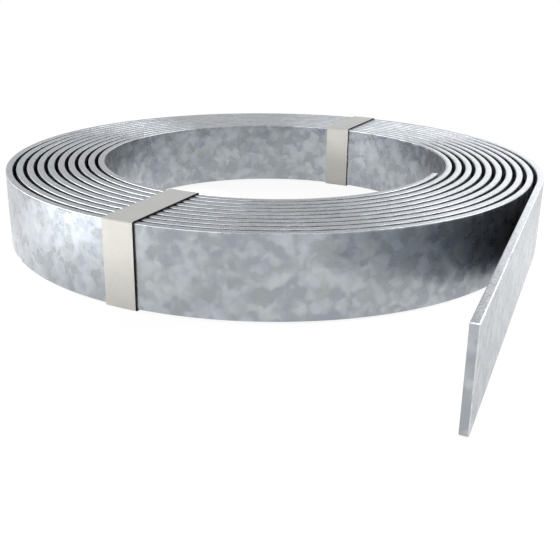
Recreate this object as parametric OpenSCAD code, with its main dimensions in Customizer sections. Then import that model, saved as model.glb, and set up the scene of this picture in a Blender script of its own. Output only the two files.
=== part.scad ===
// Coil of flat galvanised steel strip, lying on its side and held by two straps.
// The strip is one continuous piece: a spiral of tangent half-turns whose last one
// runs out into a straight loose end. Seen from above it winds outwards clockwise.

/* [Strip] */
// Width of the strip, which is the height of the coil
strip_w = 40; // [20:1:60]
// Thickness of the strip
strip_t = 3.5; // [2.5:0.5:6]
// Rounding of the strip's four long edges
edge_r = 0.5; // [0.2:0.1:1]

/* [Coil] */
// Inside diameter of the first half-turn, which is the eye of the coil
eye_d = 195; // [120:1:400]
// Whole turns from the inner end to where the loose end leaves
turns = 10; // [2:1:16]
// Clear gap between one turn and the next
turn_gap = 2; // [0.5:0.1:4]
// Direction of the inner end and of the loose end's start, clockwise from +X
end_angle = 23.4; // [0:0.1:60]
// Length of the straight loose end
tail_l = 189; // [60:1:400]

/* [Straps] */
// Width of each strap
strap_w = 16; // [10:0.5:32]
// Thickness of each strap
strap_t = 0.8; // [0.5:0.1:2]
// Gap between a strap and the curved faces of the coil
strap_gap = 0.1; // [0.1:0.1:1]
// Direction of the front strap, clockwise from +X
front_strap_angle = 115; // [70:1:200]
// Direction of the rear strap, clockwise from +X
rear_strap_angle = 296; // [250:1:350]

/* [Hidden] */
$fn = 96;
eye_r = eye_d / 2;
pitch = strip_t + turn_gap;
// The coil stands on the lower runs of its straps.
coil_z = strap_t;

// Half-turns of one side share a centre; the two centres lie half a pitch apart.
function side_of(angle) = (angle - end_angle + 360) % 360 < 180 ? 0 : 1;
function centre_x(side) = (side == 0 ? -1 : 1) * pitch / 4;
function half_turn_r(turn, side) = eye_r + (turn + side / 2) * pitch;

module rounded_rectangle(size, r) {
    translate([r, 0]) square([size.x - 2 * r, size.y]);
    translate([0, r]) square([size.x, size.y - 2 * r]);
    for (x = [r, size.x - r], y = [r, size.y - r])
        translate([x, y]) circle(r);
}

module strip_section() {
    rounded_rectangle([strip_t, strip_w], edge_r);
}

// All the half-turns of one side, made by one revolve about their shared centre.
module half_turns(side) {
    translate([centre_x(side), 0, 0])
        rotate([0, 0, 180 * side])
            rotate_extrude(angle = -180)
                for (turn = [0:turns - 1])
                    translate([half_turn_r(turn, side), 0]) strip_section();
}

module loose_end() {
    translate([centre_x(1) + half_turn_r(turns - 1, 1), 0, 0])
        rotate([90, 0, 0])
            linear_extrude(height = tail_l) strip_section();
}

module strip() {
    color([0.68, 0.70, 0.72])
        translate([0, 0, coil_z]) rotate([0, 0, -end_angle]) {
            half_turns(0);
            half_turns(1);
            loose_end();
        }
}

// A flat band bent round the section of the coil. Its outer run comes nearest the convex
// outside along its middle, and its inner run comes nearest the concave eye at its edges.
module strap(angle) {
    side = side_of(angle);
    inner_r = half_turn_r(0, side);
    outer_r = half_turn_r(turns - 1, side) + strip_t;
    inner_x = sqrt(pow(inner_r, 2) - pow(strap_w / 2, 2)) - strap_gap;
    clear = [outer_r + strap_gap - inner_x, strip_w];
    rotate([0, 0, -end_angle]) translate([centre_x(side), 0, 0])
        rotate([0, 0, end_angle - angle]) translate([inner_x, strap_w / 2, coil_z])
            rotate([90, 0, 0]) linear_extrude(height = strap_w)
                difference() {
                    translate([-strap_t, -strap_t])
                        rounded_rectangle(clear + 2 * [strap_t, strap_t], edge_r + strap_t);
                    rounded_rectangle(clear, edge_r);
                }
}

module front_strap() {
    color([0.86, 0.84, 0.80]) strap(front_strap_angle);
}

module rear_strap() {
    color([0.86, 0.84, 0.80]) strap(rear_strap_angle);
}

strip();
front_strap();
rear_strap();
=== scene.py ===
"""Looks of a strapped coil of galvanised steel strip: its pieces, finishes, light and camera."""
import math

import bmesh
import bpy
from mathutils import Euler, Matrix, Vector


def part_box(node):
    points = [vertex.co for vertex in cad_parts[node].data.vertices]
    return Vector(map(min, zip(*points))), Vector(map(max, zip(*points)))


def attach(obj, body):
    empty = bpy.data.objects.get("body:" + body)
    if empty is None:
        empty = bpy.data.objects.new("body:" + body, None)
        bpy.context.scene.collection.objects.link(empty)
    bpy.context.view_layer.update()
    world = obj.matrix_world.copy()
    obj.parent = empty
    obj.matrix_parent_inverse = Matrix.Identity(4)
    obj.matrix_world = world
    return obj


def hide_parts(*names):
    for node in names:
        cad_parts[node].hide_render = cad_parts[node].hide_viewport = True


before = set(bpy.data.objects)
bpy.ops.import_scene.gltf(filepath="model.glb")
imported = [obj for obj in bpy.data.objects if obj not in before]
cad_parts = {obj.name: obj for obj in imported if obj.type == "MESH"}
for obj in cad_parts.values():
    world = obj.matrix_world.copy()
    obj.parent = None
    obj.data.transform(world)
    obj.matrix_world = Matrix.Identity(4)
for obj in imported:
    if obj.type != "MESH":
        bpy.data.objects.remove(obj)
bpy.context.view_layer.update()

# Strip and coil, in metres, as in the part's source, with its cut ends softened
STRIP_THICKNESS = 0.0035
EDGE_ROUNDING = 0.0005
END_ROUNDING = 0.0004
EYE_RADIUS = 0.0975
TURN_GAP = 0.002
TURNS = 10
END_ANGLE = math.radians(23.4)
LOOSE_END = 0.189
PITCH = STRIP_THICKNESS + TURN_GAP
STRIP_LOW, STRIP_HIGH = (corner.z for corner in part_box("strip"))

# Straps, in metres, with their directions clockwise from +X
STRAP_WIDTH = 0.016
STRAP_THICKNESS = 0.0008
STRAP_GAP = 0.0001
STRAP_ANGLES = {"front_strap": math.radians(115), "rear_strap": math.radians(296)}

# Fineness of the round stretches
HALF_TURN_STEPS = 90
ROUNDING_STEPS = 3
FLOOR_SIDES = 96

# Distance in metres from a long edge at which a broad face starts to shade flat
EDGE_HOLD = 3 * EDGE_ROUNDING

# Distance in metres below which two points of a mesh become one
MERGE_DISTANCE = 1e-6

# Studio: the floor near the coil glows less than further off, so that it keeps the shadow
WHITE = (1, 1, 1, 1)
FLOOR_RADIUS = 3.0
FLOOR_GLOW = 0.88
GLOW_FROM, GLOW_FULL = 0.25, 0.7
SKY_FILL = 0.45

# Soft boxes: place, target and size in metres, power in watts, spread in degrees
LAMPS = {
    "front_box": {"place": (-0.95, -0.85, 0.60), "target": (0, 0, 0), "size": (1.6, 1.0), "power": 10.5},
    "left_rim_box": {"place": (-1.20, 0.05, 0.50), "target": (0, 0, 0), "size": (1.3, 0.7), "power": 12},
    "left_back_box": {"place": (-0.95, 0.60, 0.16), "target": (0, 0, 0), "size": (0.5, 0.3), "power": 0.4},
    "right_rim_box": {"place": (0.95, 0.20, 0.70), "target": (0, 0, 0), "size": (0.8, 0.5), "power": 6},
    "right_back_box": {"place": (0.63, 1.35, 0.60), "target": (0, 0, 0), "size": (0.6, 0.9), "power": 2.2},
    # The last four make pools of light on the floor that the walls and the loose end mirror.
    "left_pool": {
        "place": (-0.28, -0.15, 0.30), "target": (-0.25, -0.15, 0),
        "size": (0.12, 0.12), "power": 1.6, "spread": 45,
    },
    "right_pool": {
        "place": (0.27, -0.10, 0.30), "target": (0.24, -0.10, 0),
        "size": (0.15, 0.15), "power": 0.5, "spread": 60,
    },
    "front_pool": {
        "place": (0.10, -0.28, 0.35), "target": (0.10, -0.28, 0),
        "size": (0.2, 0.15), "power": 0.16, "spread": 45,
    },
    "eye_pool": {
        "place": (-0.06, 0.03, 0.30), "target": (-0.06, 0.03, 0),
        "size": (0.03, 0.03), "power": 0.08, "spread": 12,
    },
}

# Camera: its place in metres, tilt and roll in radians, lens and sensor in millimetres
CAMERA_PLACE = Vector((0.0049, -0.4483, 0.1388 + STRIP_LOW))
CAMERA_TILT = 0.3070
CAMERA_ROLL = 0.0165
CAMERA_LENS = 49.02
CAMERA_SENSOR = 36
CAMERA_SHIFT = -0.1
CAMERA_NEAR = 0.01

X_AXIS, Y_AXIS, Z_AXIS = Vector((1, 0, 0)), Vector((0, 1, 0)), Vector((0, 0, 1))
CLOCKWISE = -1


def finish_piece(name, bm, node, materials):
    """Turns a bmesh into a piece of the coil that stands for a CAD node."""
    bmesh.ops.remove_doubles(bm, verts=bm.verts, dist=MERGE_DISTANCE)
    bmesh.ops.recalc_face_normals(bm, faces=bm.faces)
    for face in bm.faces:
        face.smooth = True
    mesh = bpy.data.meshes.new(name)
    bm.to_mesh(mesh)
    bm.free()
    for material in materials:
        mesh.materials.append(material)
    piece = bpy.data.objects.new(name, mesh)
    bpy.context.scene.collection.objects.link(piece)
    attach(piece, "root")
    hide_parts(node)


def clockwise_turn(angle):
    """A turn about the upright axis, clockwise as seen from above."""
    return Matrix.Rotation(CLOCKWISE * angle, 3, "Z")


def side_centre(side):
    """The half-turns of one side share this centre on the line through the strip's ends."""
    return X_AXIS * (PITCH / 4 if side else -PITCH / 4)


def half_turn_radius(turn, side):
    """The inside radius of one half-turn."""
    return EYE_RADIUS + (turn + side / 2) * PITCH


def strip_outline(bm, radius):
    """The rounded outline of the strip's section, standing on the +X side."""
    inner, outer = radius, radius + STRIP_THICKNESS
    low, high = STRIP_LOW, STRIP_HIGH
    held_low, held_high = low + EDGE_HOLD, high - EDGE_HOLD
    rim = [(inner, low), (outer, low), (outer, held_low), (outer, held_high)]
    rim += [(outer, high), (inner, high), (inner, held_high), (inner, held_low)]
    section = bm.faces.new([bm.verts.new((x, 0, z)) for x, z in rim])
    flat_low, flat_high = low + EDGE_ROUNDING, high - EDGE_ROUNDING
    bmesh.ops.bevel(
        bm,
        geom=[vert for vert in section.verts if not flat_low < vert.co.z < flat_high],
        affect="VERTICES",
        offset=EDGE_ROUNDING,
        segments=ROUNDING_STEPS,
        profile=0.5,
        material=-1,
    )
    bmesh.ops.delete(bm, geom=list(bm.faces), context="FACES_ONLY")


def half_turn(turn, side):
    """One half-turn of the strip as an open sleeve; the very first leaves room for its rounded end."""
    bm = bmesh.new()
    strip_outline(bm, half_turn_radius(turn, side))
    start = END_ROUNDING / EYE_RADIUS if turn == side == 0 else 0
    bmesh.ops.rotate(bm, verts=bm.verts, cent=(0, 0, 0), matrix=clockwise_turn(math.pi * side + start))
    bmesh.ops.translate(bm, verts=bm.verts, vec=side_centre(side))
    bmesh.ops.spin(
        bm,
        geom=list(bm.verts) + list(bm.edges),
        cent=side_centre(side),
        axis=Z_AXIS,
        angle=CLOCKWISE * (math.pi - start),
        steps=HALF_TURN_STEPS,
        use_merge=False,
        use_duplicate=False,
    )
    return bm


def loose_end():
    """The straight end of the strip as an open sleeve, short by its rounded end."""
    bm = bmesh.new()
    strip_outline(bm, half_turn_radius(TURNS - 1, 1))
    bmesh.ops.translate(bm, verts=bm.verts, vec=side_centre(1))
    drawn = bmesh.ops.extrude_edge_only(bm, edges=list(bm.edges))
    moved = [item for item in drawn["geom"] if isinstance(item, bmesh.types.BMVert)]
    bmesh.ops.translate(bm, verts=moved, vec=-Y_AXIS * (LOOSE_END - END_ROUNDING))
    return bm


def add_to(whole, part):
    """Moves one bmesh into another."""
    carrier = bpy.data.meshes.new("carrier")
    part.to_mesh(carrier)
    part.free()
    whole.from_mesh(carrier)
    bpy.data.meshes.remove(carrier)


def round_end(bm, cap):
    """Rounds the outline of a cut end by a few insets that step outwards."""
    for step in range(ROUNDING_STEPS):
        before = math.pi / 2 * step / ROUNDING_STEPS
        after = math.pi / 2 * (step + 1) / ROUNDING_STEPS
        bmesh.ops.inset_individual(
            bm,
            faces=[cap],
            thickness=END_ROUNDING * (math.cos(before) - math.cos(after)),
            depth=END_ROUNDING * (math.sin(after) - math.sin(before)),
        )


def make_strip(materials):
    """One strip: a rounded section spun through tangent half-turns, then drawn out straight."""
    bm = bmesh.new()
    for turn in range(TURNS):
        for side in (0, 1):
            add_to(bm, half_turn(turn, side))
    add_to(bm, loose_end())
    bmesh.ops.remove_doubles(bm, verts=bm.verts, dist=MERGE_DISTANCE)
    bmesh.ops.holes_fill(bm, edges=[edge for edge in bm.edges if edge.is_boundary], sides=0)
    bmesh.ops.recalc_face_normals(bm, faces=bm.faces)
    # The two filled ends are the only faces with more than four corners.
    for cap in [face for face in bm.faces if len(face.verts) > 4]:
        round_end(bm, cap)
    bmesh.ops.rotate(bm, verts=bm.verts, cent=(0, 0, 0), matrix=clockwise_turn(END_ANGLE))
    finish_piece("coiled_strip", bm, "strip", materials)


def make_strap(node, materials):
    """A flat band bent round the coil's section, with a cut edge along each side painted near-black as
    shade.
    """
    angle = STRAP_ANGLES[node]
    side = int((angle - END_ANGLE) % math.tau >= math.pi)
    inner_radius = half_turn_radius(0, side)
    outer_radius = half_turn_radius(TURNS - 1, side) + STRIP_THICKNESS
    reach = STRAP_GAP + STRAP_THICKNESS
    inner = math.sqrt(inner_radius ** 2 - (STRAP_WIDTH / 2) ** 2) - reach
    outer = outer_radius + reach
    low, high = STRIP_LOW - STRAP_THICKNESS, STRIP_HIGH + STRAP_THICKNESS
    bm = bmesh.new()
    corners = [(inner, low), (outer, low), (outer, high), (inner, high)]
    loop = bm.faces.new([bm.verts.new((x, -STRAP_WIDTH / 2, z)) for x, z in corners])
    bmesh.ops.bevel(
        bm,
        geom=list(loop.verts),
        affect="VERTICES",
        offset=EDGE_ROUNDING + STRAP_THICKNESS,
        segments=2 * ROUNDING_STEPS,
        profile=0.5,
        material=-1,
    )
    bmesh.ops.delete(bm, geom=list(bm.faces), context="FACES_ONLY")
    wide = bmesh.ops.extrude_edge_only(bm, edges=list(bm.edges))
    moved = [item for item in wide["geom"] if isinstance(item, bmesh.types.BMVert)]
    bmesh.ops.translate(bm, verts=moved, vec=Y_AXIS * STRAP_WIDTH)
    bmesh.ops.recalc_face_normals(bm, faces=bm.faces)
    bmesh.ops.solidify(bm, geom=list(bm.faces), thickness=STRAP_THICKNESS)
    bmesh.ops.recalc_face_normals(bm, faces=bm.faces)
    # Faces that look along the band's width are its cut edges; they take the second material, a painted
    # shade.
    for face in bm.faces:
        face.material_index = int(abs(face.normal.y) > 0.5)
    for edge in bm.edges:
        edge.smooth = len({face.material_index for face in edge.link_faces}) == 1
    bmesh.ops.rotate(bm, verts=bm.verts, cent=(0, 0, 0), matrix=clockwise_turn(angle))
    bmesh.ops.translate(bm, verts=bm.verts, vec=clockwise_turn(END_ANGLE) @ side_centre(side))
    finish_piece(node + "_band", bm, node, materials)


class Value:
    """A shader socket that takes part in Python sums; every operator adds a Math node."""

    def __init__(self, shader, socket):
        self.shader = shader
        self.socket = socket

    def math(self, operation, first, second):
        return self.shader.node("ShaderNodeMath", {"operation": operation}, {0: first, 1: second})

    def __add__(self, other):
        return self.math("ADD", self, other)

    def __radd__(self, other):
        return self.math("ADD", other, self)

    def __mul__(self, other):
        return self.math("MULTIPLY", self, other)

    def __rmul__(self, other):
        return self.math("MULTIPLY", other, self)


class Shader:
    """A node tree that starts empty; node() makes every node in it."""

    def __init__(self, tree):
        self.tree = tree
        tree.nodes.clear()

    def node(self, kind, settings, inputs, *outputs):
        """Adds a node, with its settings first; gives its first output, the one named or a list."""
        made = self.tree.nodes.new(kind)
        for key, setting in settings.items():
            setattr(made, key, setting)
        for key, value in inputs.items():
            if isinstance(value, Value):
                self.tree.links.new(value.socket, made.inputs[key])
            else:
                made.inputs[key].default_value = value
        if not made.outputs:
            return None
        found = [Value(self, made.outputs[name]) for name in outputs or (0,)]
        return found if len(outputs) > 1 else found[0]

    def vector_math(self, operation, *inputs, output=0):
        """A sum on vectors or colours."""
        return self.node("ShaderNodeVectorMath", {"operation": operation}, dict(enumerate(inputs)), output)

    def place(self):
        return self.node("ShaderNodeTexCoord", {}, {}, "Object")

    def along(self, vector, direction):
        """How far a vector goes in one direction."""
        return self.vector_math("DOT_PRODUCT", vector, direction, output="Value")

    def level(self):
        """One on faces that look straight up or down, else nothing."""
        facing = self.split(self.node("ShaderNodeNewGeometry", {}, {}, "Normal"))[2]
        return self.ramp(facing * facing, low=0.3, high=0.8)

    def seen(self):
        """One for what the camera sees straight on, mirrored or through glass, else nothing."""
        rays = ("Is Camera Ray", "Is Glossy Ray", "Is Transmission Ray")
        straight, mirrored, through = self.node("ShaderNodeLightPath", {}, {}, *rays)
        return straight + mirrored + through

    def noise(self, place, size, detail=2.0, rough=0.5, output="Fac"):
        inputs = {"Vector": place, "Scale": 1 / size, "Detail": detail, "Roughness": rough}
        return self.node("ShaderNodeTexNoise", {}, inputs, output)

    def cells(self, place, size):
        """Soft-edged patches, each of its own random colour."""
        inputs = {"Vector": place, "Scale": 1 / size, "Smoothness": 0.8}
        return self.node("ShaderNodeTexVoronoi", {"feature": "SMOOTH_F1"}, inputs, "Color")

    def ramp(self, value, low, high, to_low=0.0, to_high=1.0):
        inputs = {"Value": value, "From Min": low, "From Max": high, "To Min": to_low, "To Max": to_high}
        return self.node("ShaderNodeMapRange", {"interpolation_type": "SMOOTHSTEP"}, inputs)

    def blend(self, factor, first, second):
        """Mixes two colours, which a Mix node takes on sockets 6 and 7 and gives on its output 2."""
        return self.node("ShaderNodeMix", {"data_type": "RGBA"}, {0: factor, 6: first, 7: second}, 2)

    def split(self, vector):
        return self.node("ShaderNodeSeparateXYZ", {}, {0: vector}, "X", "Y", "Z")

    def spread(self, way, amount, start):
        """Moves a vector along another vector or a colour, scaled."""
        return self.vector_math("MULTIPLY_ADD", way, (amount,) * 3, start)

    def bump(self, height, strength, distance):
        inputs = {"Height": height, "Strength": strength, "Distance": distance}
        return self.node("ShaderNodeBump", {}, inputs)

    def lean(self, way, amount, normal):
        """Tips a normal by how far a colour departs from mid grey."""
        even = self.vector_math("SUBTRACT", way, (0.5, 0.5, 0.5))
        return self.vector_math("NORMALIZE", self.spread(even, 2 * amount, normal))


def make_material(name, paint):
    """A material whose surface comes from a function that works in its node tree."""
    material = bpy.data.materials.new(name)
    material.use_nodes = True
    shader = Shader(material.node_tree)
    shader.node("ShaderNodeOutputMaterial", {}, {"Surface": paint(shader)})
    return material


def linear(red, green, blue):
    """A colour written in 0-255 sRGB steps, as the shader wants it."""
    shares = [part / 255 for part in (red, green, blue)]
    return tuple(p / 12.92 if p <= 0.04045 else ((p + 0.055) / 1.055) ** 2.4 for p in shares) + (1.0,)


def painted_highlight_line(shader, place):
    """One along the rounded outer edges of the loose end, where a painted highlight lightens the zinc."""
    outwards = (math.cos(END_ANGLE), -math.sin(END_ANGLE), 0)
    endwards = (-math.sin(END_ANGLE), -math.cos(END_ANGLE), 0)
    inner_face = side_centre(1).x + half_turn_radius(TURNS - 1, 1)
    on_end = shader.ramp(shader.along(place, outwards), low=inner_face - TURN_GAP / 2, high=inner_face)
    normal = shader.node("ShaderNodeNewGeometry", {}, {}, "True Normal")
    looks = [shader.along(normal, way) for way in (outwards, endwards, tuple(Z_AXIS))]
    out, ahead, up = [shader.ramp(look, low=0.1, high=0.25) for look in looks]
    # Noise breaks the painted highlight into patches.
    highlight_patches = shader.ramp(shader.noise(place, size=0.004), low=0.2, high=0.6)
    return on_end * out * (ahead + up) * highlight_patches


def galvanised_steel(shader):
    """Zinc with soft spangle on the broad faces, a fine speckle on the edges and a painted highlight line.
    """
    place = shader.place()
    drift = shader.noise(place, size=0.006, detail=1.0, output="Color")
    bent = shader.spread(drift, amount=0.005, start=place)
    crystal = shader.split(shader.cells(bent, size=0.006))
    grain = shader.split(shader.cells(bent, size=0.0034))
    cloud = shader.noise(place, size=0.025, detail=3.0)
    spangle = 0.4 * crystal[0] + 0.35 * grain[0] + 0.25 * cloud
    dark = shader.blend(crystal[1], linear(150, 154, 163), linear(154, 159, 159))
    light = shader.blend(grain[2], linear(176, 180, 190), linear(180, 185, 185))
    broad = shader.blend(shader.ramp(spangle, low=0.25, high=0.75), dark, light)
    edge = shader.level()
    speckle = shader.noise(place, size=0.0007, rough=0.6)
    specks = shader.ramp(speckle, low=0.35, high=0.65)
    narrow = shader.blend(specks, linear(130, 134, 138), linear(168, 172, 176))
    plain = shader.blend(edge, broad, narrow)
    pitted = shader.bump(speckle * edge, strength=0.02, distance=0.0003)
    return shader.node("ShaderNodeBsdfPrincipled", {}, {
        # Painted highlight: a light zinc colour along the loose end's outer edges, in place of a mirrored
        # light.
        "Base Color": shader.blend(painted_highlight_line(shader, place), plain, linear(206, 209, 212)),
        "Metallic": 1.0,
        "Roughness": 0.25 + 0.06 * spangle + 0.12 * speckle * edge,
        "Normal": shader.lean(drift, amount=0.07, normal=pitted),
    })


def strap_band(shader):
    """Satin off-white band with faint rubbing, painted greyer as shade where it lies level."""
    place = shader.place()
    cloud = shader.noise(place, size=0.012, detail=3.0)
    rub = shader.noise(place, size=0.0015, rough=0.7)
    tone = 0.6 * cloud + 0.4 * rub
    patchy = shader.ramp(tone, low=0.3, high=0.7)
    upright = shader.blend(patchy, linear(178, 176, 170), linear(184, 182, 176))
    # Painted shade: the level runs take a greyer copy of the band's colour, as they get less light from
    # above.
    level_shade = shader.blend(patchy, linear(161, 161, 159), linear(167, 167, 165))
    # The band bows a little: its normal tips down at the foot and up towards the top.
    width = STRIP_HIGH - STRIP_LOW
    height = shader.split(place)[2]
    rise = shader.ramp(height, low=STRIP_LOW + 0.3 * width, high=STRIP_HIGH + 0.1 * width)
    bow = shader.node("ShaderNodeCombineXYZ", {}, {"X": 0.5, "Y": 0.5, "Z": rise})
    rubbed = shader.bump(rub, strength=0.03, distance=0.0002)
    return shader.node("ShaderNodeBsdfPrincipled", {}, {
        "Base Color": shader.blend(shader.level(), upright, level_shade),
        "Roughness": 0.38 + 0.1 * tone,
        "Normal": shader.lean(bow, amount=0.45, normal=rubbed),
    })


def strap_edge(shader):
    """The band's cut edge, painted near-black as the shade along the band's sides."""
    rub = shader.noise(shader.place(), size=0.001, rough=0.7)
    return shader.node("ShaderNodeBsdfPrincipled", {}, {
        # Painted shade: a near-black colour for the shadow line along the band's edges.
        "Base Color": shader.blend(rub, linear(6, 6, 7), linear(14, 14, 15)),
        "Roughness": 0.6 + 0.1 * rub,
        "Specular IOR Level": 0.2,
    })


def floor_paint(shader):
    """White floor: seen and mirrored as nearly plain white, but still carrying the shadow."""
    place = shader.place()
    grain = shader.noise(place, size=0.4)
    paint = shader.node("ShaderNodeBsdfPrincipled", {}, {
        "Base Color": shader.blend(grain, (0.93, 0.93, 0.93, 1), (0.95, 0.95, 0.95, 1)),
        "Roughness": 1.0,
        "Specular IOR Level": 0.0,
    })
    glow = shader.node("ShaderNodeEmission", {}, {"Color": WHITE, "Strength": 1.0})
    away = shader.vector_math("LENGTH", place, output="Value")
    share = shader.ramp(away, low=GLOW_FROM, high=GLOW_FULL, to_low=FLOOR_GLOW) * shader.seen()
    return shader.node("ShaderNodeMixShader", {}, {0: share, 1: paint, 2: glow})


def make_floor():
    """A wide round floor under the coil."""
    bm = bmesh.new()
    bmesh.ops.create_circle(bm, cap_ends=True, segments=FLOOR_SIDES, radius=FLOOR_RADIUS)
    mesh = bpy.data.meshes.new("floor")
    bm.to_mesh(mesh)
    bm.free()
    mesh.materials.append(make_material("floor_paint", floor_paint))
    floor = bpy.data.objects.new("floor", mesh)
    bpy.context.scene.collection.objects.link(floor)


def make_lamp(name, place, target, size, power, spread=180):
    """A soft box that lights the coil but isn't seen itself; its spread is in degrees."""
    data = bpy.data.lights.new(name, "AREA")
    data.shape = "RECTANGLE"
    data.size, data.size_y = size
    data.spread = math.radians(spread)
    data.energy = power
    lamp = bpy.data.objects.new(name, data)
    lamp.location = place
    lamp.rotation_euler = (Vector(place) - Vector(target)).to_track_quat("Z", "Y").to_euler()
    lamp.visible_camera = False
    bpy.context.scene.collection.objects.link(lamp)


def make_sky():
    """White for what is seen or mirrored, a weaker white as fill light."""
    world = bpy.data.worlds.new("studio")
    world.use_nodes = True
    shader = Shader(world.node_tree)
    fill = shader.node("ShaderNodeBackground", {}, {"Color": WHITE, "Strength": SKY_FILL})
    shown = shader.node("ShaderNodeBackground", {}, {"Color": WHITE, "Strength": 1.0})
    mixed = shader.node("ShaderNodeMixShader", {}, {0: shader.seen(), 1: fill, 2: shown})
    shader.node("ShaderNodeOutputWorld", {}, {"Surface": mixed})
    bpy.context.scene.world = world


def make_camera():
    """A camera that looks down on the coil from the front, rolled a little."""
    data = bpy.data.cameras.new("camera")
    data.sensor_width = CAMERA_SENSOR
    data.lens = CAMERA_LENS
    data.shift_y = CAMERA_SHIFT
    data.clip_start = CAMERA_NEAR
    camera = bpy.data.objects.new("camera", data)
    turned = Euler((math.pi / 2 - CAMERA_TILT, 0, 0)).to_matrix() @ Matrix.Rotation(CAMERA_ROLL, 3, "Z")
    camera.rotation_euler = turned.to_euler()
    camera.location = CAMERA_PLACE
    bpy.context.scene.collection.objects.link(camera)
    bpy.context.scene.camera = camera


make_strip([make_material("galvanised_steel", galvanised_steel)])
band = [make_material("strap_band", strap_band), make_material("strap_edge", strap_edge)]
for strap in STRAP_ANGLES:
    make_strap(strap, band)
make_floor()
make_sky()
for name, lamp in LAMPS.items():
    make_lamp(name, **lamp)
make_camera()
bpy.context.scene.view_settings.view_transform = "Standard"
